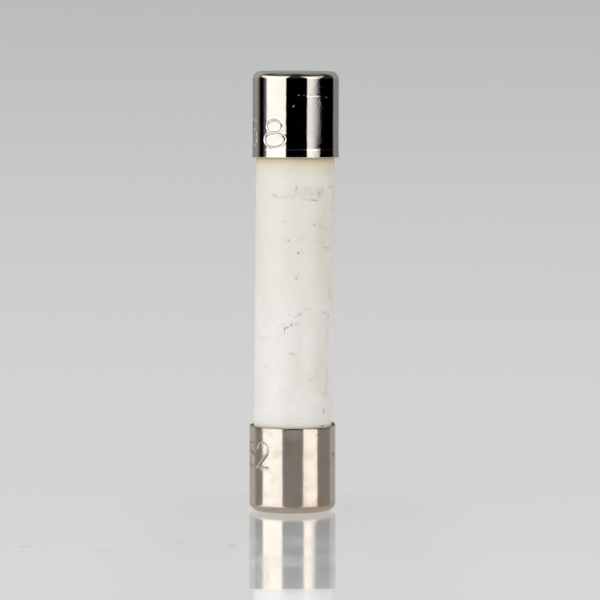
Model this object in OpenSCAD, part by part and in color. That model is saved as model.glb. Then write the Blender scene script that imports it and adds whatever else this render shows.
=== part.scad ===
// Ceramic cartridge fuse, 6.3 x 32 mm, filled with sand
// It stands on its lower cap: the origin is the middle of that cap's flat end, +Z runs up the fuse

/* [Fuse] */
// Length over both caps
fuse_length = 32; // [28:0.5:51]

/* [Caps] */
// Outer diameter of the two caps
cap_diameter = 6.3; // [6:0.05:8]
// Length of each cap
cap_length = 6.3; // [4:0.1:9]
// Thickness of the sheet that the caps are drawn from
cap_sheet = 0.25; // [0.2:0.01:0.35]
// Outside radius of the corner between a cap's barrel and its flat end
cap_corner = 0.58; // [0.45:0.01:0.8]
// Rounding of the outer edge of the rim
rim_round = 0.08; // [0.02:0.01:0.12]
// How much wider the mouth is than the barrel, on the radius
mouth_flare = 0.1; // [0.02:0.01:0.15]
// How far the flare reaches into the mouth
mouth_depth = 0.35; // [0.1:0.05:1]

/* [Tube] */
// Clearance between the tube and the cap's barrel, on the radius
tube_fit = 0.04; // [0.01:0.01:0.15]
// Diameter of the tube's bore
tube_bore = 4; // [3:0.1:4.4]
// Chamfer on the outer edge of the tube's ends
tube_chamfer = 0.12; // [0.05:0.01:0.3]

/* [Solder and washers] */
// Thickness of the solder between a cap's floor and its washer
solder_thickness = 0.3; // [0.2:0.01:0.5]
// Depth of the hollow round the edge of the solder
solder_hollow = 0.1; // [0.05:0.01:0.12]
// Thickness of the fibre washers
washer_thickness = 0.35; // [0.2:0.05:0.6]

/* [Fuse element] */
// Width of the strip
strip_width = 1.6; // [1.2:0.1:2.4]
// Thickness of the strip
strip_thickness = 0.1; // [0.05:0.01:0.15]
// Width of the strip that is left at a neck
neck_width = 0.3; // [0.15:0.05:0.6]
// Number of necks along the strip
neck_count = 7; // [1:1:8]
// Distance from one neck to the next
neck_pitch = 3; // [2:0.1:3.5]
// Inside radius of the bend at each end of the strip
bend_radius = 0.1; // [0.05:0.01:0.15]
// Length of the flat foot past the bend
foot_length = 1.2; // [0.5:0.1:1.6]
// Clearance between the strip's edges and its slot in a washer
slot_clearance = 0.05; // [0.02:0.01:0.1]

/* [Sand] */
// Clearance between the sand and the bore, on the radius
sand_clearance = 0.02; // [0.01:0.01:0.05]

/* [Hidden] */
$fn = 96;

// Radii of the drawn cup
cap_radius = cap_diameter / 2;
barrel_radius = cap_radius - cap_sheet;
floor_radius = cap_radius - cap_corner;
inner_corner = cap_corner - cap_sheet;
mouth_radius = barrel_radius + mouth_flare;

// Heights in the lower cap: floor, solder, washer, then the end of the tube
washer_z = cap_sheet + solder_thickness;
tube_z = washer_z + washer_thickness;
tube_length = fuse_length - 2 * tube_z;
tube_radius = barrel_radius - tube_fit;
bore_radius = tube_bore / 2;

// The bend starts inside the washer, so that the foot lies flat on the washer's outer face
notch_radius = (strip_width - neck_width) / 2;
bend_y = strip_thickness / 2 + bend_radius;
straight_z = washer_z + bend_radius;
straight_length = fuse_length - 2 * straight_z;

overlap = 0.01;

nickel = [0.76, 0.74, 0.7];
ceramic = [0.91, 0.89, 0.85];
fibre = [0.55, 0.33, 0.2];
solder_grey = [0.62, 0.63, 0.65];
copper = [0.83, 0.55, 0.4];
quartz = [0.82, 0.75, 0.6];

// Puts its children at the upper end of the fuse, turned end for end
module at_upper_end() {
    translate([0, 0, fuse_length]) rotate([180, 0, 0]) children();
}

// Half section of the outside of a cup, with its rounded corner and rim
module cup_outside() {
    square([floor_radius, cap_length]);
    translate([0, cap_corner]) square([cap_radius, cap_length - cap_corner - rim_round]);
    translate([0, cap_corner]) square([cap_radius - rim_round, cap_length - cap_corner]);
    translate([floor_radius, cap_corner]) circle(cap_corner);
    translate([cap_radius - rim_round, cap_length - rim_round]) circle(rim_round);
}

// Half section of the space inside a cup, with its rounded floor and flared mouth
module cup_inside() {
    translate([0, cap_sheet]) square([floor_radius, cap_length]);
    translate([0, cap_corner]) square([barrel_radius, cap_length]);
    translate([floor_radius, cap_corner]) circle(inner_corner);
    polygon([
        [0, cap_length - mouth_depth],
        [barrel_radius, cap_length - mouth_depth],
        [mouth_radius, cap_length],
        [mouth_radius, cap_length + overlap],
        [0, cap_length + overlap]
    ]);
}

// A cap, drawn from one sheet, with its flat end down
module drawn_cup() {
    color(nickel) rotate_extrude() difference() {
        cup_outside();
        cup_inside();
    }
}

module lower_cap() {
    drawn_cup();
}

module upper_cap() {
    at_upper_end() drawn_cup();
}

// The tube stands between the two washers and reaches well into both caps
module ceramic_tube() {
    color(ceramic) translate([0, 0, tube_z]) rotate_extrude() polygon([
        [bore_radius, 0],
        [tube_radius - tube_chamfer, 0],
        [tube_radius, tube_chamfer],
        [tube_radius, tube_length - tube_chamfer],
        [tube_radius - tube_chamfer, tube_length],
        [bore_radius, tube_length]
    ]);
}

// A washer closes the bore, with a slot as wide as the strip and its bend
module slotted_washer() {
    slot_length = strip_width + 2 * slot_clearance;
    color(fibre) translate([0, 0, washer_z]) difference() {
        cylinder(r = floor_radius, h = washer_thickness);
        translate([-slot_length / 2, -bend_y, -overlap])
            cube([slot_length, 2 * bend_y, washer_thickness + 2 * overlap]);
    }
}

module lower_washer() {
    slotted_washer();
}

module upper_washer() {
    at_upper_end() slotted_washer();
}

// The straight part of the strip, with pairs of round notches that leave the necks
module notched_strip() {
    translate([0, strip_thickness / 2, straight_z]) rotate([90, 0, 0])
        linear_extrude(strip_thickness) difference() {
            translate([-strip_width / 2, 0]) square([strip_width, straight_length]);
            for (i = [0 : neck_count - 1], side = [-1, 1])
                translate([side * strip_width / 2, straight_length / 2 + (i - (neck_count - 1) / 2) * neck_pitch])
                    circle(notch_radius);
        }
}

// The strip's lower end: a quarter bend and the foot under the washer
module strip_foot() {
    translate([-strip_width / 2, bend_y, straight_z]) rotate([90, 0, 90]) rotate([0, 0, 180])
        rotate_extrude(angle = 90)
            translate([bend_radius, 0]) square([strip_thickness, strip_width]);
    translate([-strip_width / 2, bend_y, washer_z - strip_thickness])
        cube([strip_width, foot_length, strip_thickness]);
}

module fuse_element() {
    color(copper) {
        notched_strip();
        strip_foot();
        at_upper_end() strip_foot();
    }
}

// Solder wets the cap's floor and the washer, draws in at its edge and holds the foot
module solder_pool() {
    hollow_radius = (solder_thickness * solder_thickness / 4 + solder_hollow * solder_hollow)
                    / (2 * solder_hollow);
    color(solder_grey) difference() {
        translate([0, 0, cap_sheet]) rotate_extrude() difference() {
            square([floor_radius, solder_thickness]);
            translate([floor_radius - solder_hollow + hollow_radius, solder_thickness / 2])
                circle(hollow_radius);
        }
        strip_foot();
    }
}

module lower_solder() {
    solder_pool();
}

module upper_solder() {
    at_upper_end() solder_pool();
}

// Sand fills the bore from washer to washer, close round the strip and in its notches
module sand_filler() {
    color(quartz) difference() {
        translate([0, 0, tube_z]) cylinder(r = bore_radius - sand_clearance, h = tube_length);
        notched_strip();
    }
}

lower_cap();
upper_cap();
ceramic_tube();
lower_washer();
upper_washer();
lower_solder();
upper_solder();
fuse_element();
sand_filler();
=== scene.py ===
# Ceramic cartridge fuse, 6.3 x 32 mm, standing on its lower cap on a pale glossy floor
# Lengths are in millimetres up to the line where a mesh is made, and MM turns them into metres there
import math

import bpy
import numpy as np
from mathutils import Matrix, Quaternion, Vector

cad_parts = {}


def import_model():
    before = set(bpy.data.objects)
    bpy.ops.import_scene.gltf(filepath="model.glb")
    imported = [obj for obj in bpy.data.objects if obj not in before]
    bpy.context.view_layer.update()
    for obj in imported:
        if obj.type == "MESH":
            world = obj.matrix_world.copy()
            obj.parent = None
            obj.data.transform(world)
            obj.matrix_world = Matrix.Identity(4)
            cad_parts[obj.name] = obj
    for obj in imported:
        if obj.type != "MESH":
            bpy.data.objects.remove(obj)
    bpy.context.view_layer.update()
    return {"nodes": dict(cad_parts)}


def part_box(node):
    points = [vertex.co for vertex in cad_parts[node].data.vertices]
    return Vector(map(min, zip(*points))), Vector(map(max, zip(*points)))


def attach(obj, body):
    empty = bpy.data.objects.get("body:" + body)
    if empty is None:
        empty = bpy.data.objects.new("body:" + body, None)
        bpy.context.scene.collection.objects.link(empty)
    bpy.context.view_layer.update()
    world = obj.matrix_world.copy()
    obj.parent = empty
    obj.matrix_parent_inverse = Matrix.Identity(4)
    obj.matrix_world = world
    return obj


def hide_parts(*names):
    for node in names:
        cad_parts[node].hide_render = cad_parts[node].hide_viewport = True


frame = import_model()

MM = 0.001
NODES = frame["nodes"]


# Sizes


def node_size(node):
    """Lowest point, highest point and largest radius of a round CAD node, in millimetres."""
    low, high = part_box(node)
    return low.z / MM, high.z / MM, (high.x - low.x) / 2 / MM


def smallest_radius(node):
    """Distance from the axis to the nearest vertex of a CAD node, in millimetres."""
    return min(vertex.co.xy.length for vertex in NODES[node].data.vertices) / MM


CAP_FOOT, CAP_RIM, CAP_RADIUS = node_size("lower_cap")
UPPER_RIM, FUSE_TOP, _ = node_size("upper_cap")
TUBE_FOOT, TUBE_TOP, TUBE_RADIUS = node_size("ceramic_tube")
BORE_RADIUS = smallest_radius("ceramic_tube")

# The drawn cup: sheet, corner and the flared mouth, as in the CAD
SHEET = 0.25
CORNER = 0.58
RIM_ROUND = 0.08
MOUTH_FLARE = 0.1
MOUTH_DEPTH = 0.35

# The tube: its chamfer, how uneven it is, and the rows and columns of its mesh
TUBE_CHAMFER = 0.12
TUBE_SWELL = 0.006
TUBE_ROWS = 110
TUBE_COLUMNS = 144

# How near a point counts as lying on a surface
TOLERANCE = 1e-6

# The grid of a cap's mesh: coarse steps, fine steps at digits and at lines, and how fast steps grow
CAP_COARSE_ANGLE = math.radians(2.5)
CAP_COARSE_HEIGHT = 0.3
DIGIT_GRID = 0.026
LINE_GRID = 0.02
GRID_GROWTH = 0.25

# The lip beside a stamped stroke, and how far the fine grid reaches past a digit, in half strokes
LIP_HEIGHT = 0.004
LIP_PLACE = 1.35
LIP_WIDTH = 0.4
GRID_REACH = 4

# Stamped digits: (digit, distance round from the front, height, width, tall)
UPPER_DIGITS = [
    ("0", -7.1, 27.5, 1.1, 1.8), ("2", -5.5, 27.5, 1.1, 1.8),
    ("5", -3.9, 27.5, 1.1, 1.8), ("8", -1.65, 27.5, 1.75, 1.95),
]
UPPER_STROKE = 0.15
UPPER_STAMP_DEPTH = 0.03
LOWER_DIGITS = [("4", 6.9, 4.2, 1.2, 2.0), ("5", -3.9, 4.2, 1.1, 1.8), ("2", -2.4, 4.2, 1.1, 1.8)]
LOWER_STROKE = 0.2
LOWER_STAMP_DEPTH = 0.035

# The band that was burnished along the upper cap's rim
BAND_HEIGHT = 0.62
BAND_STEP = 0.004
BAND_FLARE = 0.012
BAND_SOFTNESS = 0.015

# The line worn round the upper cap's barrel: faint all round, and deepest at one angle
RING_HEIGHT = 30.2
RING_WIDTH = 0.035
RING_DEPTH = 0.003
RING_FAINT = 0.1
RING_ANGLE = 0.5
RING_SPAN = 0.3

# How far the fine grid reaches past the band's edge, the ring and the corner's start
BAND_REACH = 0.06
RING_REACH = 0.08
CORNER_REACH = 0.05

# The lower cap's rim: where it is bent up or opened, as (size, degrees round from the front, width in
# radians), its waves, as (size, waves round, shift), how much lower it is, and how far down this reaches
RIM_BENDS = [(0.16, 112, 0.28), (-0.05, 48, 0.12)]
RIM_OPENED = (0.05, 55, 0.35)
RIM_WAVES = [(0.007, 13, 0), (0.005, 23, 1)]
RIM_DROP = 0.07
BENT_DEPTH = 0.5

# The caps stand nearly upright in the photograph, and the tube leans a little between them
LOWER_CAP_LEAN = math.radians(-0.593)
LOWER_CAP_PIVOT = 4.85
UPPER_CAP_LEAN = math.radians(-0.44)
UPPER_CAP_PIVOT = 28.3

# Camera, fitted to the edges of the caps in the photograph
CAMERA_DISTANCE = 240.0
CAMERA_HEIGHT = 28.33
CAMERA_LENS = 197.8
CAMERA_SENSOR = 36.0
CAMERA_YAW = math.radians(0.106)
CAMERA_PITCH = math.radians(3.095)
CAMERA_ROLL = math.radians(0.593)
CAMERA_NEAR = 0.01
CAMERA_FAR = 10.0


# Shapes


def graded(start, end, coarse, zones):
    """Places from start to end, coarse apart, and closer together in each (low, high, fine) zone."""
    places = [start]
    while places[-1] < end:
        here = places[-1]
        step = coarse
        for low, high, fine in zones:
            gap = max(low - here, here - high, 0.0)
            step = min(step, fine + GRID_GROWTH * gap)
        places.append(here + step)
    places[-1] = end
    return places


def arc(centre, size, start, end, steps=14):
    """Points along part of an ellipse with two half sizes, from one angle to another in degrees."""
    angles = np.radians(np.linspace(start, end, steps + 1))
    return [(centre[0] + size[0] * math.cos(a), centre[1] + size[1] * math.sin(a)) for a in angles]


def line(start, end, steps):
    """Points on a straight stretch of a section, without its last point."""
    return [tuple(p) for p in np.linspace(start, end, steps + 1)[:-1]]


def new_mesh(name, points, faces):
    mesh = bpy.data.meshes.new(name)
    mesh.from_pydata(points, [], faces)
    return mesh


def add_object(name, data):
    """Puts a mesh or a camera in the scene."""
    made = bpy.data.objects.new(name, data)
    bpy.context.scene.collection.objects.link(made)
    return made


def lathe(name, section, angles, relief=None):
    """A smooth closed mesh, turned from the points (radius, height) of a section.

    A section that starts and ends on the axis gets a pole at each end, and any other is a ring.
    relief(angles, radii, heights) may move the points, and gives back new radii and heights.
    """
    section = np.array(section, float)
    has_poles = section[0, 0] == 0 and section[-1, 0] == 0
    rings = section[1:-1] if has_poles else section
    angles = np.array(angles, float)
    angle, radius = np.meshgrid(angles, rings[:, 0])
    height = np.meshgrid(angles, rings[:, 1])[1]
    if relief:
        radius, height = relief(angle, radius, height)
    points = np.stack([radius * np.sin(angle), -radius * np.cos(angle), height], axis=-1).reshape(-1, 3)
    rows, columns = angle.shape
    this_row = np.arange(columns)
    next_column = (this_row + 1) % columns
    faces = []
    for row in range(rows if not has_poles else rows - 1):
        low, high = row * columns, (row + 1) % rows * columns
        quads = np.stack([low + this_row, low + next_column, high + next_column, high + this_row], axis=-1)
        faces += quads.tolist()
    if has_poles:
        first, last = len(points), len(points) + 1
        poles = [(0, 0, section[0, 1]), (0, 0, section[-1, 1])]
        points = np.concatenate([points, poles])
        end_row = (rows - 1) * columns
        faces += [(first, int(n), int(c)) for c, n in zip(this_row, next_column)]
        faces += [(last, int(end_row + c), int(end_row + n)) for c, n in zip(this_row, next_column)]
    mesh = new_mesh(name, (points * MM).tolist(), faces)
    mesh.shade_smooth()
    return add_object(name, mesh)


def lean(piece, angle, pivot):
    """Turns a mesh about the Y axis, through a height on the fuse's axis, in millimetres."""
    there = Matrix.Translation((0, 0, pivot * MM))
    piece.data.transform(there @ Matrix.Rotation(angle, 4, "Y") @ there.inverted())
    return piece


# Stamped digits


# Strokes of each digit in a unit box
DIGITS = {
    "0": [arc((0.5, 0.5), (0.5, 0.5), 0, 360, 32)],
    "2": [arc((0.5, 0.7), (0.45, 0.3), 165, -40) + [(0.0, 0.0), (0.95, 0.0)]],
    "4": [[(0.72, 0.0), (0.72, 1.0), (0.0, 0.3), (1.0, 0.3)]],
    "5": [[(0.9, 1.0), (0.15, 1.0), (0.08, 0.55)] + arc((0.45, 0.33), (0.48, 0.33), 128, -150)],
    "8": [arc((0.5, 0.76), (0.36, 0.24), 0, 360, 26), arc((0.5, 0.27), (0.5, 0.27), 0, 360, 30)],
}


def bell(x, centre, width):
    """A smooth bump of height 1."""
    return np.exp(-(((x - centre) / width) ** 2))


def segment_distance(u, v, start, end):
    """Distance from each point (u, v) to one straight stretch of a stroke."""
    along = np.array(end) - np.array(start)
    length = float(along @ along)
    share = ((u - start[0]) * along[0] + (v - start[1]) * along[1]) / length
    share = np.clip(share, 0, 1)
    return np.hypot(u - start[0] - share * along[0], v - start[1] - share * along[1])


def digit_distance(u, v, digit, box):
    """Distance from each point (u, v) to the strokes of a digit that fills a box."""
    left, foot, width, tall = box
    nearest = np.full(u.shape, np.inf)
    for stroke in DIGITS[digit]:
        path = [(left + x * width, foot + y * tall) for x, y in stroke]
        for start, end in zip(path, path[1:]):
            nearest = np.minimum(nearest, segment_distance(u, v, start, end))
    return nearest


class Marks:
    """Digits stamped into a cap's barrel."""

    def __init__(self, digits, stroke, depth):
        self.digits = digits
        self.half_stroke = stroke / 2
        self.depth = depth
        self.reach = GRID_REACH * self.half_stroke

    def relief(self, angle, height):
        """How far the barrel stands out: a round groove along each stroke, with a faint lip."""
        u = angle * CAP_RADIUS
        raised = np.zeros(angle.shape)
        for digit, place, middle, width, tall in self.digits:
            near = np.abs(u - place) < width
            box = (place - width / 2, middle - tall / 2, width, tall)
            distance = digit_distance(u[near], height[near], digit, box) / self.half_stroke
            inside = np.clip(1 - distance, 0, 1)
            sunk = self.depth * inside * inside * (3 - 2 * inside)
            raised[near] += LIP_HEIGHT * bell(distance, LIP_PLACE, LIP_WIDTH) - sunk
        return raised

    def angle_zones(self):
        """Where round the barrel the digits lie, as zones for graded()."""
        return [
            ((place - width / 2 - self.reach) / CAP_RADIUS, (place + width / 2 + self.reach) / CAP_RADIUS,
             DIGIT_GRID / CAP_RADIUS)
            for _, place, _, width, _ in self.digits
        ]

    def height_zones(self):
        """Where up the barrel the digits lie, as zones for graded()."""
        return [
            (middle - tall / 2 - self.reach, middle + tall / 2 + self.reach, DIGIT_GRID)
            for _, _, middle, _, tall in self.digits
        ]


# The caps


def cup_section(barrel):
    """Half section of a cup that stands on its floor: outside up to the rim, then down the inside."""
    floor_edge = CAP_RADIUS - CORNER
    inner_radius = CAP_RADIUS - SHEET
    mouth_radius = inner_radius + MOUTH_FLARE
    inner_corner = CORNER - SHEET
    rim_low = CAP_RIM - RIM_ROUND
    section = line((0, CAP_FOOT), (floor_edge, CAP_FOOT), 8)
    section += arc((floor_edge, CORNER), (CORNER, CORNER), -90, 0, 20)[:-1]
    section += [(CAP_RADIUS, height) for height in barrel]
    section += arc((CAP_RADIUS - RIM_ROUND, rim_low), (RIM_ROUND, RIM_ROUND), 0, 90, 6)[1:]
    section += line((mouth_radius, CAP_RIM), (inner_radius, CAP_RIM - MOUTH_DEPTH), 4)
    section += line((inner_radius, CAP_RIM - MOUTH_DEPTH), (inner_radius, CORNER), 6)
    section += arc((floor_edge, CORNER), (inner_corner, inner_corner), 0, -90, 6)
    section += line((floor_edge, SHEET), (0, SHEET), 4)[1:] + [(0, SHEET)]
    return section


def cap(name, marks, relief, extra_zones=(), upside_down=False):
    """A dressed cap, with its floor at the foot of the fuse or, upside down, at its top."""
    zones = [*marks.height_zones(), *extra_zones]
    if upside_down:
        zones = [(FUSE_TOP - high, FUSE_TOP - low, fine) for low, high, fine in zones]
    section = cup_section(graded(CORNER, CAP_RIM - RIM_ROUND, CAP_COARSE_HEIGHT, zones))
    if upside_down:
        section = [(radius, FUSE_TOP - height) for radius, height in reversed(section)]
    angles = graded(-math.pi, math.pi, CAP_COARSE_ANGLE, marks.angle_zones())[:-1]
    return lathe(name, section, angles, relief)


def on_barrel(radius):
    """1 on the outside of the barrel, 0 elsewhere."""
    return (radius > CAP_RADIUS - TOLERANCE).astype(float)


def on_upper_corner(radius, height):
    """1 where the upper cap's outer corner meets its barrel, falling to 0 where it meets the flat end."""
    across = radius - (CAP_RADIUS - CORNER)
    up = height - (FUSE_TOP - CORNER)
    outer = (across > 0) & (up > TOLERANCE) & (np.hypot(across, up) > CORNER - TOLERANCE)
    return outer * np.clip(across / CORNER, 0, 1)


def upper_cap_skin():
    """The upper cap, with a band burnished along its rim and a line worn round its barrel."""
    marks = Marks(UPPER_DIGITS, UPPER_STROKE, UPPER_STAMP_DEPTH)
    band_edge = UPPER_RIM + BAND_HEIGHT
    corner_start = FUSE_TOP - CORNER

    def relief(angle, radius, height):
        above_band = 1 / (1 + np.exp((band_edge - height) / BAND_SOFTNESS))
        to_rim = np.clip((band_edge - height) / BAND_HEIGHT, 0, 1)
        drawn_in = -BAND_STEP * above_band - BAND_FLARE * (1 - to_rim)
        ring = bell(height, RING_HEIGHT, RING_WIDTH) * (RING_FAINT + bell(angle, RING_ANGLE, RING_SPAN))
        worn = marks.relief(angle, height) - RING_DEPTH * ring
        outside = on_barrel(radius) + on_upper_corner(radius, height)
        return radius + outside * drawn_in + on_barrel(radius) * worn, height

    zones = [
        (band_edge - BAND_REACH, band_edge + BAND_REACH, LINE_GRID),
        (RING_HEIGHT - RING_REACH, RING_HEIGHT + RING_REACH, LINE_GRID),
        (corner_start - CORNER_REACH, corner_start, LINE_GRID),
    ]
    skin = cap("upper_cap_skin", marks, relief, zones, upside_down=True)
    return lean(skin, UPPER_CAP_LEAN, UPPER_CAP_PIVOT)


def lower_cap_skin():
    """The lower cap, with its rim bent up and opened a little at the right."""
    marks = Marks(LOWER_DIGITS, LOWER_STROKE, LOWER_STAMP_DEPTH)

    def relief(angle, radius, height):
        near_rim = np.clip((height - CAP_RIM + BENT_DEPTH) / BENT_DEPTH, 0, 1) ** 2
        lift = sum(size * bell(angle, math.radians(place), width) for size, place, width in RIM_BENDS)
        wave = sum(size * np.sin(angle * count + shift) for size, count, shift in RIM_WAVES)
        inside = (radius < CAP_RADIUS - RIM_ROUND) & (radius > CAP_RADIUS - SHEET - TOLERANCE)
        size, place, width = RIM_OPENED
        opened = size * bell(angle, math.radians(place), width) * near_rim * inside
        stamped = on_barrel(radius) * marks.relief(angle, height)
        return radius + stamped + opened, height + near_rim * (lift + wave - RIM_DROP)

    return lean(cap("lower_cap_skin", marks, relief), LOWER_CAP_LEAN, LOWER_CAP_PIVOT)


# The tube


def tube_skin():
    """The ceramic tube, a little uneven as fired ceramic is."""
    chamfered = TUBE_RADIUS - TUBE_CHAMFER
    low, high = TUBE_FOOT + TUBE_CHAMFER, TUBE_TOP - TUBE_CHAMFER
    section = line((BORE_RADIUS, TUBE_FOOT), (chamfered, TUBE_FOOT), 3)
    section += line((chamfered, TUBE_FOOT), (TUBE_RADIUS, low), 2)
    section += line((TUBE_RADIUS, low), (TUBE_RADIUS, high), TUBE_ROWS)
    section += line((TUBE_RADIUS, high), (chamfered, TUBE_TOP), 2)
    section += line((chamfered, TUBE_TOP), (BORE_RADIUS, TUBE_TOP), 3)
    section += line((BORE_RADIUS, TUBE_TOP), (BORE_RADIUS, TUBE_FOOT), 24)

    def relief(angle, radius, height):
        outside = radius > TUBE_RADIUS - TOLERANCE
        swell = 0.5 * np.sin(height * 0.9 + 1.3) * np.sin(angle * 2 + 0.4)
        swell += 0.5 * np.sin(height * 2.3) * np.sin(angle * 3 + height * 0.2)
        return radius - TUBE_SWELL * outside * (1 + swell) / 2, height

    angles = np.linspace(-math.pi, math.pi, TUBE_COLUMNS + 1)[:-1]
    return lathe("ceramic_tube_skin", section, angles, relief)


# Materials


class Shader:
    """A node tree with short calls for the nodes that the materials use."""

    def __init__(self, tree):
        self.tree = tree
        tree.nodes.clear()

    def feed(self, socket, value):
        if isinstance(value, bpy.types.NodeSocket):
            self.tree.links.new(value, socket)
        elif value is not None:
            socket.default_value = value

    def node(self, kind, inputs=(), **settings):
        """A node; inputs are values or sockets, by name or in the order of the node's own."""
        made = self.tree.nodes.new("ShaderNode" + kind)
        for name, value in settings.items():
            setattr(made, name, value)
        for key, value in inputs.items() if isinstance(inputs, dict) else enumerate(inputs):
            self.feed(made.inputs[key], value)
        return made

    def math(self, operation, *values):
        return self.node("Math", values, operation=operation).outputs[0]

    def vector(self, operation, a, b):
        return self.node("VectorMath", (a, b), operation=operation).outputs[0]

    def scaled(self, vector, scale):
        return self.vector("MULTIPLY", vector, scale)

    def length(self, vector):
        return self.node("VectorMath", (vector,), operation="LENGTH").outputs["Value"]

    def place(self):
        """Position on the object, in millimetres."""
        return self.scaled(self.node("TexCoord").outputs["Object"], (1 / MM,) * 3)

    def noise(self, vector, scale, detail=3.0, roughness=0.5, distortion=0.0, output="Fac"):
        inputs = {"Vector": vector, "Scale": scale, "Detail": detail}
        inputs |= {"Roughness": roughness, "Distortion": distortion}
        return self.node("TexNoise", inputs).outputs[output]

    def spread(self, value, low, high, to_low=0.0, to_high=1.0, smooth=True):
        """to_low up to the value low, to_high from the value high on, and a slope between them."""
        kind = "SMOOTHSTEP" if smooth else "LINEAR"
        inputs = (value, low, high, to_low, to_high)
        return self.node("MapRange", inputs, interpolation_type=kind).outputs["Result"]

    def mix(self, share, a, b, kind="RGBA"):
        """a where share is 0 and b where it is 1."""
        return self.node("Mix", {"Factor": share, "A": a, "B": b}, data_type=kind).outputs["Result"]

    def choose(self, share, a, b):
        """The same for plain numbers."""
        return self.mix(share, a, b, "FLOAT")

    def combine(self, x=0.0, y=0.0, z=0.0):
        return self.node("CombineXYZ", (x, y, z)).outputs[0]

    def separate(self, vector):
        return self.node("SeparateXYZ", (vector,)).outputs

    def unrolled(self, place, radius):
        """Position on a round surface: distance round it from the front, then height."""
        x, y, z = self.separate(place)
        angle = self.math("ARCTAN2", x, self.math("MULTIPLY", y, -1.0))
        return self.combine(self.math("MULTIPLY", angle, radius), z)

    def shaken(self, vector, place, scale, amount):
        """A place on an unrolled surface, moved about by noise so that spots get ragged edges."""
        noise = self.noise(place, scale, detail=2.0, output="Color")
        shift = self.vector("SUBTRACT", noise, (0.5, 0.5, 0.5))
        return self.vector("ADD", vector, self.scaled(shift, (amount, amount, 0)))

    def spot(self, vector, spot):
        """1 at the centre of a listed spot on an unrolled surface, falling to 0 at its edge."""
        x, y, half_width, half_height, _, *tilt = spot
        inputs = {"Vector": vector, "Location": (x, y, 0), "Scale": (half_width, half_height, 1)}
        inputs["Rotation"] = (0, 0, math.radians(sum(tilt)))
        mapping = self.node("Mapping", inputs, vector_type="TEXTURE").outputs[0]
        return self.node("TexGradient", {"Vector": mapping}, gradient_type="SPHERICAL").outputs["Fac"]

    def stain(self, vector, spot, flat_from=1.0):
        """A listed spot with a smooth edge, at its own strength from a share of the way in."""
        return self.spread(self.spot(vector, spot), 0.0, flat_from, 0.0, spot[STRENGTH])

    def bump(self, height, strength, distance, normal=None):
        inputs = {"Height": height, "Strength": strength, "Distance": distance, "Normal": normal}
        return self.node("Bump", inputs).outputs[0]

    def matt(self, tint):
        return self.node("BsdfDiffuse", {"Color": tint}).outputs[0]

    def glowing(self, strength, tint=(1, 1, 1, 1)):
        return self.node("Emission", {"Color": tint, "Strength": strength}).outputs[0]

    def clear(self):
        return self.node("BsdfTransparent").outputs[0]

    def both(self, a, b):
        """Two shaders added up."""
        return self.node("AddShader", (a, b)).outputs[0]

    def blend(self, share, a, b):
        """Two shaders mixed."""
        return self.node("MixShader", (share, a, b)).outputs[0]

    def show(self, shader):
        """Makes a shader the one that is rendered."""
        self.node("OutputMaterial", {"Surface": shader})

    def surface(self, **inputs):
        """Shows one Principled shader."""
        named = {name.replace("_", " "): value for name, value in inputs.items()}
        self.show(self.node("BsdfPrincipled", named).outputs[0])


def new_material(name):
    material = bpy.data.materials.new(name)
    material.use_nodes = True
    return material, Shader(material.node_tree)


def colour(red, green, blue):
    return red, green, blue, 1.0


# Nickel plate: roughness at the rim and corner, where its wear and its painted-shade inside start, and
# colours
RIM_ROUGHNESS = 0.2
CORNER_ROUGHNESS = 0.12
INSIDE_ROUGHNESS = 0.5
WEAR_START = 0.03
INSIDE_START = 0.1
INSIDE_FULL = 0.13
STAIN_FLAT_FROM = 0.8
# The inside's brass, made far darker than brass as painted shade in the cup
INNER_BRASS_PAINTED_SHADE = colour(0.12, 0.09, 0.055)
RIM_DIRT = colour(0.66, 0.62, 0.56)
METAL_EDGE = colour(0.8, 0.81, 0.81)

# Its relief: depth of the waves, the grain, the fine dents, and the pits and scratches
WAVE_DEPTH = 0.2
GRAIN_DEPTH = 0.1
DENT_DEPTH = 0.02
MARK_DEPTH = 0.2

# Ceramic: paler at its foot than at its top, the tints that mottle it, and a painted shadow above the lower
# rim
CERAMIC_LOW = colour(0.93, 0.9, 0.865)
CERAMIC_HIGH = colour(0.855, 0.815, 0.745)
CREAM = colour(0.83, 0.8, 0.71)
STRAW = colour(0.8, 0.785, 0.71)
PUTTY = colour(0.76, 0.745, 0.69)
ROSE = colour(0.9, 0.82, 0.78)
SAGE = colour(0.8, 0.83, 0.72)
OLIVE = colour(0.6, 0.58, 0.4)
TAN = colour(0.75, 0.665, 0.38)
DARK_TAN = colour(0.57, 0.41, 0.14)
# Painted shadow for the line where the tube meets the lower cap's rim
RIM_PAINTED_SHADOW = colour(0.3, 0.24, 0.17)
SMEAR_GREY = colour(0.45, 0.43, 0.39)
SCUFF_GREY = colour(0.17, 0.16, 0.13)
SPOT_BROWN = colour(0.3, 0.23, 0.11)

# Where a listed spot has its strength
STRENGTH = 4

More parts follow.
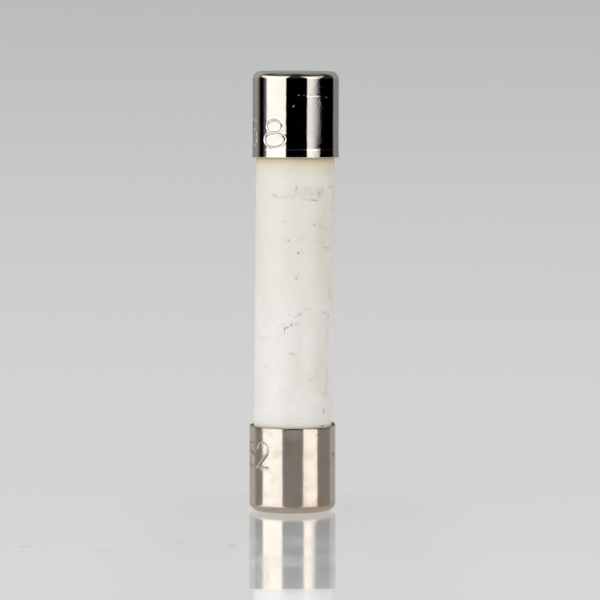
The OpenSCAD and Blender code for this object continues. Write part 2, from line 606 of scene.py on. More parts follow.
# Spots on the tube: distance round from the front, height, half width, half height, strength, and where
# there is one, tilt in degrees
SMEARS = [
    (1.0, 23.2, 2.6, 0.7, 0.16),
    (-1.2, 23.0, 2.0, 0.25, 0.12),
    (-0.55, 19.75, 0.25, 0.2, 0.1),
    (0.5, 19.95, 0.6, 0.35, 0.12),
    (-0.3, 18.9, 0.45, 0.1, 0.1),
    (-2.35, 16.1, 0.3, 0.5, 0.08),
    (-0.85, 13.65, 0.45, 0.16, 0.2, 12),
    (-2.5, 12.6, 0.5, 0.3, 0.12),
    (-0.5, 12.65, 0.35, 0.2, 0.1),
    (1.7, 10.2, 0.2, 0.5, 0.15),
    (0.1, 6.85, 1.6, 0.15, 0.12),
    (-1.9, 7.0, 0.4, 0.1, 0.1),
    (3.05, 8.5, 0.6, 0.9, 0.1),
]
GREY_SCUFFS = [
    (0.1, 23.55, 0.1, 0.42, 0.55, -8),
    (0.15, 23.2, 0.1, 0.08, 0.2),
    (-1.55, 23.0, 0.48, 0.15, 0.35, -26),
    (-0.85, 22.85, 0.4, 0.1, 0.15),
    (-0.25, 22.95, 0.32, 0.12, 0.15, -10),
    (-0.35, 24.9, 0.27, 0.17, 0.08),
    (0.7, 22.75, 0.15, 0.1, 0.25),
    (1.4, 22.7, 0.55, 0.09, 0.85, -3),
    (1.3, 23.15, 0.19, 0.14, 0.35),
    (1.1, 23.5, 0.13, 0.23, 0.2),
    (0.75, 23.5, 0.11, 0.28, 0.15),
    (2.2, 23.45, 0.22, 0.42, 0.25),
    (2.45, 25.0, 0.4, 0.22, 0.08),
    (2.5, 21.95, 0.4, 0.18, 0.12),
    (2.15, 21.55, 0.35, 0.14, 0.08),
    (3.25, 23.65, 0.6, 0.19, 0.35),
    (3.45, 22.0, 0.45, 0.5, 0.15),
    (2.35, 19.65, 0.33, 0.18, 0.12),
    (2.55, 19.3, 0.52, 0.1, 0.2),
    (2.95, 19.2, 0.5, 0.18, 0.3),
    (-2.1, 21.85, 0.22, 0.18, 0.08),
    (-2.35, 20.15, 0.25, 0.18, 0.08),
    (-0.45, 19.8, 0.12, 0.12, 0.75),
    (0.3, 18.9, 0.15, 0.16, 0.75),
    (0.6, 18.9, 0.1, 0.15, 0.12),
    (-3.5, 18.35, 0.45, 0.22, 0.08),
    (-1.1, 15.9, 0.15, 0.1, 0.06),
    (0.95, 14.8, 0.26, 0.18, 0.25),
    (0.4, 14.45, 0.36, 0.14, 0.4, 30),
    (-0.3, 14.4, 0.28, 0.09, 0.2, 25),
    (0.1, 14.25, 0.18, 0.1, 0.4),
    (-0.65, 13.4, 0.13, 0.17, 1.0),
    (-0.45, 13.5, 0.14, 0.1, 1.0),
    (-0.25, 13.6, 0.28, 0.07, 0.45, 38),
    (-0.15, 13.7, 0.17, 0.14, 0.7),
    (-0.15, 13.9, 0.08, 0.22, 0.4),
    (0.2, 13.75, 0.24, 0.12, 0.5, 8),
    (0.45, 13.75, 0.22, 0.07, 0.15),
    (-0.65, 13.2, 0.08, 0.18, 0.4),
    (-0.7, 13.05, 0.15, 0.08, 0.25),
    (-0.45, 13.1, 0.08, 0.08, 0.25),
    (-0.85, 13.0, 0.08, 0.08, 0.2),
    (-0.1, 11.6, 0.34, 0.15, 0.35, -18),
    (-2.3, 10.6, 0.13, 0.15, 0.3, 10),
    (1.3, 10.8, 0.14, 0.18, 0.08),
    (2.6, 7.45, 0.28, 0.4, 0.2, -20),
    (1.05, 8.0, 0.15, 0.2, 0.1),
    (1.25, 7.05, 0.14, 0.18, 0.15),
    (-0.55, 6.85, 0.36, 0.08, 0.1),
    (2.5, 6.3, 0.3, 0.1, 0.7),
]
BROWN_SPOTS = [
    (-0.7, 21.15, 0.3, 0.16, 0.2),
    (-0.85, 24.25, 0.2, 0.16, 0.12),
    (1.5, 20.95, 0.2, 0.14, 0.55),
    (2.15, 20.75, 0.28, 0.25, 0.12),
    (2.7, 20.65, 0.32, 0.17, 0.15),
    (1.85, 23.2, 0.22, 0.38, 0.35, -20),
    (1.95, 22.95, 0.18, 0.2, 0.35, -20),
    (2.8, 22.7, 0.22, 0.3, 0.2),
    (3.75, 23.1, 0.4, 0.36, 0.2),
    (0.15, 17.05, 0.15, 0.16, 0.6),
    (0.35, 17.35, 0.14, 0.12, 0.1),
    (1.3, 16.6, 0.16, 0.18, 0.1),
    (1.75, 19.8, 0.4, 0.14, 0.12),
    (2.6, 14.55, 0.45, 0.22, 0.3),
    (3.05, 14.25, 0.2, 0.36, 0.45, -24),
    (1.3, 9.8, 0.38, 0.4, 0.15),
    (2.85, 9.05, 0.22, 0.48, 0.2),
    (2.75, 8.65, 0.55, 0.36, 0.15),
    (2.6, 7.4, 0.25, 0.3, 0.25),
    (2.45, 6.33, 0.42, 0.14, 0.9),
]
OLIVE_STAINS = [
    (2.2, 19.8, 1.4, 5.0, 0.25),
    (1.9, 20.85, 0.8, 0.6, 0.2),
    (1.9, 23.2, 0.5, 0.6, 0.2),
    (2.3, 11.2, 1.5, 5.0, 0.25),
    (0.3, 11.05, 0.7, 2.4, 0.15),
    (0.3, 17.2, 0.5, 0.45, 0.12),
    (3.15, 15.8, 0.6, 0.6, 0.35),
    (3.05, 16.9, 0.4, 1.2, 0.25),
    (3.0, 13.0, 0.4, 2.2, 0.25),
    (2.95, 9.85, 0.4, 1.2, 0.3),
    (2.95, 24.8, 0.6, 1.2, 0.3),
]

# Pits and scratches on the caps, in the same way
UPPER_MARKS = [
    (0.2, 30.23, 0.03, 0.03, 0.25),
    (0.57, 30.23, 0.025, 0.025, 0.25),
    (2.46, 30.1, 0.03, 0.03, 0.25),
    (0.64, 26.35, 0.03, 0.03, 0.3),
    (-0.15, 29.45, 0.012, 0.12, 0.2, -40),
]
LOWER_MARKS = [
    (2.65, 5.76, 0.95, 0.04, 0.9, 3),
    (2.75, 5.93, 0.6, 0.025, 0.4, 3),
]

# Fine dents on the caps, in the same way
UPPER_DENTS = [(2.0, 28.3, 0.9, 3.6, 0.36)]
LOWER_DENTS = [(1.0, 3.0, 1.4, 4.0, 0.12)]

# Stains on the lower cap, each with its colour; the last is painted shade round the foot
LOWER_STAINS_AND_FOOT_SHADE = [
    ((-0.5, 3.0, 0.5, 3.4, 0.5), colour(0.5, 0.455, 0.43)),
    ((0.3, 6.2, 1.1, 1.0, 0.45), colour(0.82, 0.78, 0.68)),
    ((2.4, 3.9, 0.7, 0.5, 0.6), colour(0.54, 0.4, 0.3)),
    ((2.35, 1.0, 0.8, 0.6, 0.7), colour(0.52, 0.37, 0.27)),
    ((2.7, 3.4, 0.9, 3.8, 0.45), colour(0.5, 0.42, 0.34)),
    ((4.15, 4.45, 0.35, 0.3, 0.9), colour(0.15, 0.1, 0.07)),
    # Painted shade: the foot's corner mirrors the floor in the cap's own shadow
    ((0.0, 0.1, 14.0, 0.75, 0.55), colour(0.5, 0.43, 0.31)),
]


def plate_relief(s, place, skin, grain, marks, dented):
    """The normal of nickel plate: waves and grain, then dented places, then pits and scratches."""
    wave = s.noise(s.scaled(place, (1, 1, 0.45)), 0.8, detail=2.0)
    normal = s.bump(wave, 0.04, WAVE_DEPTH * MM)
    normal = s.bump(grain, 0.015, GRAIN_DEPTH * MM, normal)
    dents = s.noise(place, 9.0)
    for spot in dented:
        normal = s.bump(dents, s.stain(skin, spot, STAIN_FLAT_FROM), DENT_DEPTH * MM, normal)
    wobble = s.shaken(skin, place, 6.0, 0.04)
    for mark in marks:
        normal = s.bump(s.spot(wobble, mark), mark[STRENGTH], MARK_DEPTH * MM, normal)
    return normal


def nickel(name, bright, dull, polish, haze, rim, rim_dirt, marks, stains_and_shade, dented):
    """Nickel plate with a faint waviness, a patchy haze and a worn rim; its inside is brass painted dark as
    shade.

    marks are pits and scratches, each stain has a colour (the lower cap's painted shade round its foot is
    one), and dented places have fine dents.
    """
    material, s = new_material(name)
    place = s.place()
    skin = s.unrolled(place, CAP_RADIUS)
    x, y, height = s.separate(place)
    patches = s.noise(place, 0.9, detail=4.0, roughness=0.6)
    grain = s.noise(s.scaled(place, (1, 1, 0.35)), 14.0, roughness=0.6)
    ragged = s.vector("ADD", skin, s.scaled(s.noise(place, 2.5), (0.5, 0.5, 0)))
    rim_side = 1 if rim < FUSE_TOP / 2 else -1
    from_rim = s.math("MULTIPLY", s.math("SUBTRACT", rim, height), rim_side)
    worn = s.spread(from_rim, WEAR_START, RIM_ROUND, 1.0, 0.0)
    dirty = s.math("MULTIPLY", worn, rim_dirt)
    corner = s.spread(from_rim, CAP_RIM - CORNER, CAP_RIM - 0.6 * CORNER)
    radius = s.length(s.combine(x, y))
    # The cup's inside walls, which are painted dark as shade
    shaded_inside = s.spread(radius, CAP_RADIUS - INSIDE_FULL, CAP_RADIUS - INSIDE_START, 1.0, 0.0)
    past_floor = s.spread(from_rim, CAP_RIM - CORNER - 0.1, CAP_RIM - CORNER, 1.0, 0.0)
    shaded_inside = s.math("MULTIPLY", shaded_inside, past_floor)

    tint = s.mix(s.spread(patches, 0.42, 0.7), bright, dull)
    # Each stain, and the painted shade round the lower cap's foot, over the tint
    for spot, shade in stains_and_shade:
        tint = s.mix(s.stain(ragged, spot, STAIN_FLAT_FROM), tint, shade)
    # Painted shade: the inside takes the darkened brass colour
    tint = s.mix(shaded_inside, tint, INNER_BRASS_PAINTED_SHADE)
    tint = s.mix(dirty, tint, RIM_DIRT)

    rough = s.spread(patches, 0.35, 0.75, polish, polish + haze)
    rough = s.math("ADD", rough, s.spread(grain, 0.55, 0.85, 0.0, haze))
    for share, roughness in (
        (worn, RIM_ROUGHNESS), (corner, CORNER_ROUGHNESS), (shaded_inside, INSIDE_ROUGHNESS),
    ):
        rough = s.math("MAXIMUM", rough, s.math("MULTIPLY", share, roughness))

    s.surface(
        Base_Color=tint, Metallic=s.math("SUBTRACT", 1.0, dirty), Roughness=rough,
        Normal=plate_relief(s, place, skin, grain, marks, dented), Specular_Tint=METAL_EDGE,
    )
    return material


def blots(s, base, vector, spots, shade, grit=None):
    """Spots of one colour, laid over a base colour."""
    for spot in spots:
        share = s.stain(vector, spot)
        if grit is not None:
            share = s.math("MULTIPLY", share, grit)
        base = s.mix(share, base, shade)
    return base


def ceramic(name):
    """Off-white fired ceramic: satin, faintly mottled, stained under the upper cap and scuffed grey."""
    material, s = new_material(name)
    place = s.place()
    skin = s.unrolled(place, TUBE_RADIUS)
    height = s.separate(place)[2]
    cloud = s.noise(place, 0.35, detail=4.0, roughness=0.55)
    fine = s.noise(place, 5.0, detail=4.0, roughness=0.6)
    streaks = s.noise(s.scaled(place, (1.1, 1.1, 0.22)), 1.0, detail=4.0, roughness=0.6)
    rosy = s.noise(s.scaled(place, (0.8, 0.8, 0.5)), 1.0, roughness=0.6)
    green = s.noise(s.scaled(place, (0.9, 0.9, 0.6)), 1.0, roughness=0.6, distortion=0.3)

    base = s.mix(s.spread(height, 12.0, 20.0), CERAMIC_LOW, CERAMIC_HIGH)
    for noise, low, high, share, tint in (
        (cloud, 0.42, 0.62, 0.5, CREAM), (streaks, 0.5, 0.72, 0.35, STRAW), (fine, 0.5, 0.8, 0.2, PUTTY),
        (rosy, 0.4, 0.7, 0.35, ROSE), (green, 0.45, 0.75, 0.35, SAGE),
    ):
        base = s.mix(s.spread(noise, low, high, 0.0, share), base, tint)
    soft = s.shaken(skin, place, 1.5, 0.6)
    base = blots(s, base, soft, OLIVE_STAINS, OLIVE)

    below_cap = s.math("SUBTRACT", UPPER_RIM, height)
    below_cap = s.math("ADD", below_cap, s.spread(cloud, 0.3, 0.7, -0.15, 0.15, smooth=False))
    for start, end, share, tint in ((0.1, 1.6, 0.55, TAN), (0.0, 0.55, 0.5, DARK_TAN)):
        base = s.mix(s.spread(below_cap, start, end, share, 0.0), base, tint)
    # Painted shadow: the tube darkens a little just above the lower cap's rim
    base = s.mix(s.spread(height, CAP_RIM, CAP_RIM + 0.06, 0.1, 0.0), base, RIM_PAINTED_SHADOW)

    sharp = s.shaken(skin, place, 6.0, 0.15)
    grit = s.spread(s.noise(place, 9.0, detail=2.0), 0.3, 0.6, 0.6, 1.0)
    base = blots(s, base, soft, SMEARS, SMEAR_GREY)
    base = blots(s, base, sharp, GREY_SCUFFS, SCUFF_GREY, grit)
    base = blots(s, base, sharp, BROWN_SPOTS, SPOT_BROWN, grit)
    rough = s.spread(fine, 0.3, 0.7, 0.42, 0.56)
    normal = s.bump(s.noise(place, 9.0, detail=4.0, roughness=0.6), 0.12, 0.03 * MM)
    s.surface(Base_Color=base, Roughness=rough, Normal=normal, IOR=1.55)
    return material


def grained(name, light, dark, scale, rough, metallic=0.0, stretch=(1, 1, 1)):
    """A plain grained material for the sealed pieces inside."""
    material, s = new_material(name)
    grain = s.noise(s.scaled(s.place(), stretch), scale, detail=4.0, roughness=0.6)
    normal = s.bump(grain, 0.3, 0.02 * MM)
    tint = s.mix(s.spread(grain, 0.35, 0.65), light, dark)
    roughness = s.spread(grain, 0.3, 0.7, rough, rough + 0.15)
    s.surface(Base_Color=tint, Metallic=metallic, Roughness=roughness, Normal=normal)
    return material


def sand(name):
    """Packed quartz grains, pale and tan."""
    material, s = new_material(name)
    grains = s.node("TexVoronoi", {"Vector": s.place(), "Scale": 5.0})
    shade = s.separate(grains.outputs["Color"])[0]
    tint = s.mix(shade, colour(0.86, 0.8, 0.68), colour(0.6, 0.5, 0.36))
    normal = s.bump(grains.outputs["Distance"], 0.6, 0.05 * MM)
    s.surface(Base_Color=tint, Roughness=s.spread(shade, 0.0, 1.0, 0.5, 0.8), Normal=normal)
    return material


# The pieces


# Light linking: a softbox panel made for the fuse, or for the floor, is reflected by these pieces alone
receivers = {name: bpy.data.collections.new(name + "_as_receiver") for name in ("fuse", "floor")}


def dress(node, material):
    """A CAD node that stays, in its finished material."""
    mesh = NODES[node].data
    mesh.materials.clear()
    mesh.materials.append(material)


def add_piece(piece, node, material):
    """A modelled piece that stands for a CAD node."""
    receivers["fuse"].objects.link(piece)
    piece.data.materials.append(material)
    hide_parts(node)
    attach(piece, "root")


add_piece(
    upper_cap_skin(), "upper_cap",
    nickel(
        "bright_nickel", colour(0.72, 0.67, 0.6), colour(0.68, 0.63, 0.56), polish=0.035, haze=0.03,
        rim=UPPER_RIM, rim_dirt=0.0, marks=UPPER_MARKS, stains_and_shade=(), dented=UPPER_DENTS,
    ),
)
add_piece(
    lower_cap_skin(), "lower_cap",
    nickel(
        "worn_nickel", colour(0.56, 0.485, 0.405), colour(0.51, 0.435, 0.355), polish=0.1, haze=0.05,
        rim=CAP_RIM, rim_dirt=0.2, marks=LOWER_MARKS, stains_and_shade=LOWER_STAINS_AND_FOOT_SHADE, dented=LOWER_DENTS,
    ),
)
add_piece(tube_skin(), "ceramic_tube", ceramic("ceramic"))

fibre = grained("fibre", colour(0.3, 0.16, 0.09), colour(0.2, 0.1, 0.055), 3.0, 0.6)
tin = grained("solder", colour(0.6, 0.61, 0.63), colour(0.48, 0.49, 0.51), 2.0, 0.35, 1.0)
copper = grained(
    "strip_copper", colour(0.85, 0.5, 0.34), colour(0.72, 0.38, 0.25), 3.0, 0.25, 1.0, (4, 4, 0.4)
)
dress("lower_washer", fibre)
dress("upper_washer", fibre)
dress("lower_solder", tin)
dress("upper_solder", tin)
dress("fuse_element", copper)
dress("sand_filler", sand("quartz_sand"))


# The stage


def direction(azimuth, elevation):
    """A direction from the fuse: azimuth 0 is towards the camera, and grows to the camera's right."""
    a, e = math.radians(azimuth), math.radians(elevation)
    return Vector((math.sin(a) * math.cos(e), -math.cos(a) * math.cos(e), math.sin(e)))


# The floor's shape: it leans as the fuse does in the photograph, and bends down a little in front
FLOOR_HALF = 260.0
FLOOR_TILT = math.radians(0.593)
FLOOR_GAP = 0.002
FLOOR_BEND = -41.0
FLOOR_BEND_SLOPE = math.tan(math.radians(0.62))

# How the floor glows, as the camera, polished metal and matt surfaces see it, and painted light round the
# fuse's foot
FLOOR_COLOUR = colour(0.4, 0.4, 0.4)
FLOOR_GLOW = 0.222
FLOOR_GLOW_SLOPE = -0.0008
FLOOR_GLOW_ON_METAL = 0.27
FLOOR_GLOW_ON_MATT = 0.41
# Painted light round the foot, which cancels the fuse's contact shadow there
FOOT_PAINTED_LIGHT = 0.03
FOOT_PAINTED_LIGHT_ON_METAL = 0.2
FOOT_PAINTED_LIGHT_FULL = 2.7
FOOT_PAINTED_LIGHT_END = 4.2

# Its gloss, head on and how fast it rises towards a grazing view, and its lowest and highest roughness
GLOSS_HEAD_ON = 0.04
GLOSS_POWER = 2.5
GLOSS_ROUGHNESS = (0.07, 0.085)

# Dust beside and behind the strip that is wiped clear, and the faint haze that is left on the strip
DUST_COLOUR = colour(0.3, 0.3, 0.3)
DUST_GLOW = 0.45
DUST_GLOW_SLOPE = -0.0005
WIPED_HALF_WIDTH = 7.0
CLOUD_HAZE = 0.08
WISP_HAZE = 0.07
HAZE_START = 6.0
HAZE_FULL = 22.0

# Smears on the strip and specks on the floor, as spots
FLOOR_SMEARS = [
    (-1.0, -18.5, 10.0, 4.5, 0.17),
    (-2.5, -28.5, 8.0, 5.0, 0.16),
    (2.5, -28.0, 7.0, 4.5, 0.14),
]
FLOOR_SPECKS = [
    (-9.1, 32.4, 0.25, 0.9, 0.4),
    (-9.4, 30.0, 0.4, 0.7, 0.1),
    (-20.2, 9.0, 0.3, 0.7, 0.1),
    (-22.3, 12.4, 0.3, 0.8, 0.15),
    (-17.8, -21.1, 0.65, 1.0, 0.15),
    (-12.4, -23.1, 0.6, 1.0, 0.12),
    (-16.2, -17.4, 0.2, 0.6, 0.15),
    (-7.6, -18.5, 0.6, 1.2, 0.1),
    (-4.0, -20.6, 0.7, 1.3, 0.15),
]
SPECK_COLOUR = colour(0.2, 0.17, 0.11)

# Where the floor fades into the backdrop, from a point in front of the fuse
FADE_CENTRE = -25.0
FADE_START = 42.0
FADE_END = 62.0


def floor_glow(s, y, from_foot, path):
    """How strongly the floor glows, with painted light round the fuse's foot."""
    on_metal = path.outputs["Is Glossy Ray"]
    glow = s.math("MULTIPLY_ADD", y, FLOOR_GLOW_SLOPE, FLOOR_GLOW)
    glow = s.choose(on_metal, glow, FLOOR_GLOW_ON_METAL)
    # Painted light: a pool of glow round the foot, where the fuse's contact shadow falls
    foot_painted_light = s.choose(on_metal, FOOT_PAINTED_LIGHT, FOOT_PAINTED_LIGHT_ON_METAL)
    painted_light_share = s.spread(from_foot, FOOT_PAINTED_LIGHT_FULL, FOOT_PAINTED_LIGHT_END, 1.0, 0.0)
    glow = s.math("MULTIPLY_ADD", painted_light_share, foot_painted_light, glow)
    return s.choose(path.outputs["Is Diffuse Ray"], glow, FLOOR_GLOW_ON_MATT)


def floor_haze(s, place, x, y, from_foot):
    """The share of the floor that dust hides: clouds, wisps and smears on the strip, and all beside it."""
    cloud = s.noise(s.scaled(place, (0.35, 0.11, 1)), 1.0, detail=4.0, roughness=0.6)
    wisps = s.noise(s.scaled(place, (0.3, 0.5, 1)), 1.0)
    haze = s.spread(cloud, 0.36, 0.64, 0.0, CLOUD_HAZE, smooth=False)
    haze = s.math("ADD", haze, s.spread(wisps, 0.42, 0.7, 0.0, WISP_HAZE))
    haze = s.math("MULTIPLY", haze, s.spread(from_foot, HAZE_START, HAZE_FULL))
    uneven = s.spread(cloud, 0.35, 0.65, 0.5, 1.3)
    for smear in FLOOR_SMEARS:
        haze = s.math("MULTIPLY_ADD", s.stain(place, smear, STAIN_FLAT_FROM), uneven, haze)
    beside = s.spread(s.math("ABSOLUTE", x), WIPED_HALF_WIDTH, 2 * WIPED_HALF_WIDTH)
    behind = s.spread(y, 0.0, WIPED_HALF_WIDTH)
    unwiped = s.math("MAXIMUM", beside, behind)
    unwiped = s.math("MINIMUM", unwiped, s.spread(from_foot, WIPED_HALF_WIDTH, 2 * WIPED_HALF_WIDTH))
    return s.choose(unwiped, haze, 1.0)


def floor_material():
    """White plastic, lit from below and dusty, with a polished strip wiped clear in front of the fuse."""
    material, s = new_material("floor")
    place = s.place()
    x, y, _ = s.separate(place)
    path = s.node("LightPath")
    from_camera = path.outputs["Is Camera Ray"]
    from_foot = s.length(place)
    grain = s.noise(s.scaled(place, (0.9, 0.5, 1)), 1.0, detail=2.0)
    roughness = s.spread(grain, 0.3, 0.7, *GLOSS_ROUGHNESS)
    mirror = s.node("BsdfGlossy", {"Color": colour(1, 1, 1), "Roughness": roughness})
    facing = s.node("LayerWeight").outputs["Facing"]
    gloss = s.math("MULTIPLY_ADD", s.math("POWER", facing, GLOSS_POWER), 1 - GLOSS_HEAD_ON, GLOSS_HEAD_ON)
    polished = s.blend(gloss, s.matt(FLOOR_COLOUR), mirror.outputs[0])
    polished = s.both(polished, s.glowing(floor_glow(s, y, from_foot, path)))
    dust_glow = s.math("MULTIPLY_ADD", y, DUST_GLOW_SLOPE, DUST_GLOW)
    dust = s.both(s.matt(DUST_COLOUR), s.glowing(dust_glow))
    haze = floor_haze(s, place, x, y, from_foot)
    shown = s.blend(s.math("MULTIPLY", haze, from_camera), polished, dust)
    for speck in FLOOR_SPECKS:
        share = s.math("MULTIPLY", s.stain(place, speck), from_camera)
        shown = s.blend(share, shown, s.matt(SPECK_COLOUR))
    from_centre = s.length(s.vector("SUBTRACT", place, (0, FADE_CENTRE, 0)))
    faded = s.spread(from_centre, FADE_START, FADE_END)
    s.show(s.blend(s.math("MULTIPLY", faded, from_camera), shown, s.clear()))
    return material


def floor():
    """A pale glossy floor that fades into the backdrop away from the fuse."""
    points = []
    for y in (-FLOOR_HALF, FLOOR_BEND, FLOOR_HALF):
        drop = min(0.0, (y - FLOOR_BEND) * FLOOR_BEND_SLOPE)
        for x in (-FLOOR_HALF, FLOOR_HALF):
            points.append(Vector((x, y, x * math.tan(FLOOR_TILT) - FLOOR_GAP + drop)) * MM)
    piece = add_object("floor", new_mesh("floor", points, [(0, 1, 3, 2), (2, 3, 5, 4)]))
    receivers["floor"].objects.link(piece)
    piece.data.materials.append(floor_material())


# Rows of the softboxes, each at an elevation, from edge to edge, with (azimuth, red, green, blue) or, where
# the glow is grey, (azimuth, level)
LEFT_SOFTBOX = [
    (-3.0, [(-26.5, 1.38, 1.36, 1.37), (-82.2, 1.45), (-86.5, 0.22, 0.22, 0.23), (-98, 0.0, 0.0, 0.01)]),
    (1.5, [(-26, 1.42, 1.4, 1.4), (-82.2, 1.5), (-86.5, 0.22, 0.22, 0.23), (-98, 0.0, 0.0, 0.01)]),
    (4.0, [(-27.2, 2.0, 2.1, 2.25), (-60, 2.05, 2.2, 2.4), (-80, 2.05, 2.2, 2.4), (-85.6, 2.05, 2.2, 2.4)]),
    (6.2, [
        (-27.4, 1.93, 2.0, 2.1), (-60, 2.0, 2.13, 2.32), (-80, 2.0, 2.15, 2.35), (-85.6, 2.0, 2.15, 2.35),
    ]),
    (6.6, [(-28, 1.85), (-60, 1.85, 1.85, 1.83), (-80, 1.85, 1.85, 1.83), (-86, 1.85, 1.85, 1.83)]),
    (9, [(-27.5, 1.85), (-60, 1.9), (-80, 1.9), (-86, 1.9)]),
    (15, [(-21.5, 1.9), (-60, 1.9), (-80, 1.9), (-106, 1.3)]),
    (22, [(-19, 1.9), (-60, 1.9), (-80, 1.8), (-110, 1.2)]),
    (27, [(-17, 0.85), (-60, 0.85), (-80, 0.7), (-112, 0.6)]),
    (34, [(-15, 0.15, 0.15, 0.14), (-60, 0.15, 0.15, 0.14), (-80, 0.12), (-112, 0.1)]),
    (50, [(-15, 0.05), (-60, 0.05), (-80, 0.05), (-112, 0.1)]),
]
RIGHT_FOOT = [(31, 1.2, 1.19, 1.2), (42, 1.1, 1.1, 1.12), (52, 0.68, 0.7, 0.75), (61.5, 0.0)]
RIGHT_MIDDLE = [(31, 1.85, 1.85, 1.83), (42, 1.85), (53.5, 1.4), (63, 0.2)]
RIGHT_SOFTBOX = [
    (-3.0, RIGHT_FOOT),
    (1.5, RIGHT_FOOT),
    (4.0, [(29, 1.8, 1.85, 1.86), (42, 1.9, 1.93, 1.95), (52, 1.98, 1.99, 2.02), (69.5, 1.96, 1.95, 1.96)]),
    (7.35, [(29, 1.85, 1.87, 1.9), (42, 1.93, 1.95, 1.97), (52, 2.03, 2.04, 2.07), (70, 2.05, 2.06, 2.1)]),
    (7.5, RIGHT_MIDDLE),
    (9, RIGHT_MIDDLE),
    (15, [(24, 1.5), (42, 1.5), (52, 1.4), (74, 1.0)]),
    (22, [(18, 1.5), (42, 1.5), (52, 1.4), (82, 1.1)]),
    (27, [(13, 0.6, 0.6, 0.58), (42, 0.6, 0.6, 0.58), (52, 0.6, 0.6, 0.58), (86, 0.5, 0.5, 0.48)]),
    (34, [(12, 0.05), (42, 0.05), (52, 0.05), (88, 0.05)]),
]

# Rows that only the fuse reflects straight, and rows that it only reflects by way of the floor
ROWS_STRAIGHT = (6.6, 7.5, 9)
ROWS_IN_FLOOR = (6.2, 7.35)

# Distance of the first panel, how much farther each next one is, and mesh columns between two knots
SOFTBOX_DISTANCE = 3000.0
FAR_PANEL = 1.01
SOFTBOX_STEPS = 4

# How strongly each softbox lights what is matt
LEFT_ON_MATT = 1.11
RIGHT_ON_MATT = 0.85


def softbox_material(name, use, on_matt):
    """The glow of one of a softbox's panels. Rays are sent to the fuse's own, and find the others.

    The floor's panel glows only for rays that met the fuse before the floor.
    """
    material, s = new_material(name)
    material.cycles.emission_sampling = "FRONT_BACK" if use == "fuse" else "NONE"
    glow = s.node("Attribute", attribute_name="glow").outputs["Color"]
    if use == "fuse":
        shown = s.both(s.glowing(1.0, glow), s.clear())
    elif use == "floor":
        from_fuse = s.math("GREATER_THAN", s.node("LightPath").outputs["Ray Depth"], 1.5)
        shown = s.glowing(from_fuse, glow)
    else:
        shown = s.glowing(on_matt, glow)
    s.show(shown)
    return material


def panel_mesh(name, rows, size):
    """A curved sheet through the rows, with their glow as its colour."""
    points, glows = [], []
    for elevation, knots in rows:
        knots = np.array([(azimuth, *(glow if len(glow) == 3 else glow * 3)) for azimuth, *glow in knots])
        shares = np.linspace(0, len(knots) - 1, (len(knots) - 1) * SOFTBOX_STEPS + 1)
        row = np.stack([np.interp(shares, np.arange(len(knots)), column) for column in knots.T], axis=-1)
        for azimuth, *glow in row:
            points.append(direction(azimuth, elevation) * SOFTBOX_DISTANCE * size * MM)
            glows += [*glow, 1.0]
    wide = len(points) // len(rows)
    faces = [
        (row * wide + c, row * wide + c + 1, (row + 1) * wide + c + 1, (row + 1) * wide + c)
        for row in range(len(rows) - 1) for c in range(wide - 1)
    ]
    mesh = new_mesh(name, points, faces)
    mesh.attributes.new("glow", "FLOAT_COLOR", "POINT").data.foreach_set("color", glows)
    return mesh


def softbox(name, rows, on_matt):
    """A softbox round the fuse, made of rows from its foot to its top.

    It is three panels, one behind the other. The fuse reflects the first, the floor mirrors the second for
    the fuse alone, and the third lights what is matt.
    """
    straight = [row for row in rows if row[0] not in ROWS_IN_FLOOR]
    in_floor = [row for row in rows if row[0] not in ROWS_STRAIGHT]
    for use, size, shown in (
        ("fuse", 1.0, straight), ("floor", FAR_PANEL, in_floor), ("matt", FAR_PANEL**2, rows),
    ):
        mesh = panel_mesh(f"{name}_for_{use}", shown, size)
        mesh.materials.append(softbox_material(mesh.name, use, on_matt))
        panel = add_object(mesh.name, mesh)
        panel.visible_camera = False
        panel.visible_diffuse = use == "matt"
        panel.visible_glossy = use != "matt"
        panel.visible_shadow = use == "matt"
        if use != "matt":
            panel.light_linking.receiver_collection = receivers[use]


# What the camera sees behind the fuse: (elevation, red, green, blue)
BACKDROP = [
    (-9.0, 0.68, 0.68, 0.68),
    (-6.4, 0.66, 0.66, 0.655),
    (-4.83, 0.645, 0.65, 0.645),
    (-2.75, 0.61, 0.617, 0.612),
    (-1.36, 0.583, 0.594, 0.59),
    (0.03, 0.545, 0.555, 0.552),
    (1.95, 0.497, 0.509, 0.505),
    (4.0, 0.47, 0.48, 0.478),
]

# What polished metal sees, low and high: dark in front, and greys at the sides, at the back and on top
DARK = (colour(0.0, 0.0, 0.001), colour(0.03, 0.03, 0.032))
LEFT_GREY = (colour(0.4, 0.4, 0.385), colour(0.5, 0.5, 0.5))
RIGHT_GREY = (colour(0.3, 0.3, 0.29), colour(0.39, 0.4, 0.41))
BACK_GREY = (colour(0.36, 0.36, 0.355), colour(0.465, 0.465, 0.46))
TOP_GREY = colour(0.38, 0.38, 0.37)

# Azimuths between which the sides turn grey and the back begins, and elevations between which dark and
# grey rise to their high colours and the top begins, sooner at the sides
LEFT_EDGE = (108, 130)
RIGHT_EDGE = (117, 124)
BACK_EDGE = (140, 165)
DARK_RISE = (1.2, 8.0)
GREY_RISE = (1.5, 4.5)
TOP_EDGE = (60.0, 84.0)
TOP_GREY_SIDES = 36.0

# What matt surfaces see: strongest at the horizon, and from the left in front
FILL_HORIZON = 1.175
FILL_TOP = 0.575
FILL_GAIN = 0.24
FILL_SIDE = direction(-45, 0)


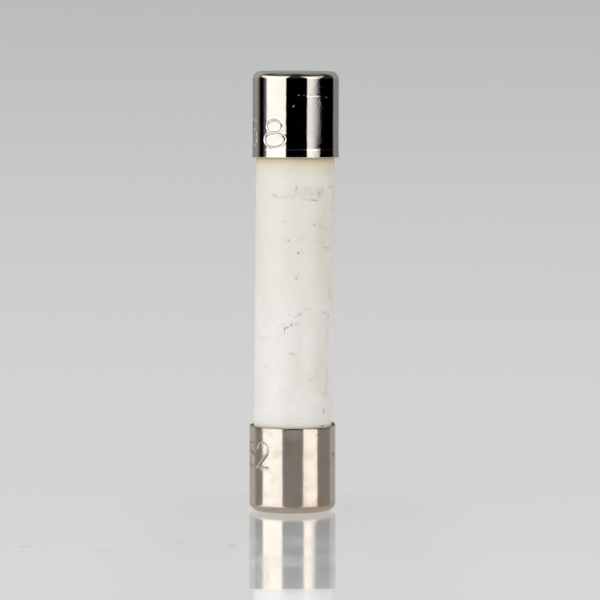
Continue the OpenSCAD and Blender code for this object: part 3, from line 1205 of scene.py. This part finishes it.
def backdrop(s, elevation):
    """The backdrop as the camera sees it, by elevation in degrees."""
    ramp = s.node("ValToRGB")
    low, high = BACKDROP[0][0], BACKDROP[-1][0]
    s.feed(ramp.inputs[0], s.spread(elevation, low, high, smooth=False))
    stops = ramp.color_ramp.elements
    while len(stops) < len(BACKDROP):
        stops.new(0.5)
    for stop, (angle, *shade) in zip(stops, BACKDROP):
        stop.position = (angle - low) / (high - low)
        stop.color = colour(*shade)
    return ramp.outputs["Color"]


def past(s, backward, azimuths):
    """0 in front of the first azimuth and 1 behind the second one, on both sides."""
    return s.spread(backward, *(-math.cos(math.radians(azimuth)) for azimuth in azimuths))


def studio(s, x, y, z, elevation):
    """The studio as polished metal sees it."""
    flat = s.math("SQRT", s.math("SUBTRACT", 1.0, s.math("MULTIPLY", z, z)))
    backward = s.math("DIVIDE", y, s.math("MAXIMUM", flat, 0.001))
    on_right = s.math("GREATER_THAN", x, 0.0)
    behind = s.choose(on_right, past(s, backward, LEFT_EDGE), past(s, backward, RIGHT_EDGE))
    raised = s.spread(elevation, *GREY_RISE)
    grey = s.mix(on_right, s.mix(raised, *LEFT_GREY), s.mix(raised, *RIGHT_GREY))
    grey = s.mix(past(s, backward, BACK_EDGE), grey, s.mix(raised, *BACK_GREY))
    dark = s.mix(s.spread(elevation, *DARK_RISE), *DARK)
    height = s.math("MULTIPLY_ADD", s.math("ABSOLUTE", x), TOP_GREY_SIDES, elevation)
    return s.mix(s.spread(height, *TOP_EDGE), s.mix(behind, dark, grey), TOP_GREY)


def world():
    """The studio round the fuse, as the camera, the polished metal and the matt surfaces see it."""
    made = bpy.data.worlds.new("studio")
    made.use_nodes = True
    made.cycles.sampling_method = "NONE"
    bpy.context.scene.world = made
    s = Shader(made.node_tree)
    way = s.node("TexCoord").outputs["Generated"]
    x, y, z = s.separate(way)
    elevation = s.math("MULTIPLY", s.math("ARCSINE", z), math.degrees(1))
    towards = s.node("VectorMath", (way, FILL_SIDE), operation="DOT_PRODUCT").outputs["Value"]
    fill = s.spread(z, 0.0, 1.0, FILL_HORIZON, FILL_TOP, smooth=False)
    fill = s.math("ADD", fill, s.math("MULTIPLY", towards, FILL_GAIN))
    path = s.node("LightPath").outputs
    shiny = s.math("MAXIMUM", path["Is Glossy Ray"], path["Is Transmission Ray"])
    seen = s.mix(shiny, fill, studio(s, x, y, z, elevation))
    seen = s.mix(path["Is Camera Ray"], seen, backdrop(s, elevation))
    s.node("OutputWorld", {"Surface": s.node("Background", {"Color": seen}).outputs[0]})


def camera():
    """The camera, which looks level across the fuse and down a little, and leans a little."""
    data = bpy.data.cameras.new("camera")
    data.lens = CAMERA_LENS
    data.sensor_width = CAMERA_SENSOR
    data.clip_start = CAMERA_NEAR
    data.clip_end = CAMERA_FAR
    made = add_object("camera", data)
    made.location = Vector((0, -CAMERA_DISTANCE, CAMERA_HEIGHT)) * MM
    forward = Vector((
        math.sin(CAMERA_YAW) * math.cos(CAMERA_PITCH),
        math.cos(CAMERA_YAW) * math.cos(CAMERA_PITCH),
        -math.sin(CAMERA_PITCH),
    ))
    made.rotation_mode = "QUATERNION"
    made.rotation_quaternion = forward.to_track_quat("-Z", "Y") @ Quaternion((0, 0, 1), CAMERA_ROLL)
    bpy.context.scene.camera = made


floor()
softbox("left_softbox", LEFT_SOFTBOX, LEFT_ON_MATT)
softbox("right_softbox", RIGHT_SOFTBOX, RIGHT_ON_MATT)
world()
camera()
bpy.context.scene.view_settings.view_transform = "Standard"
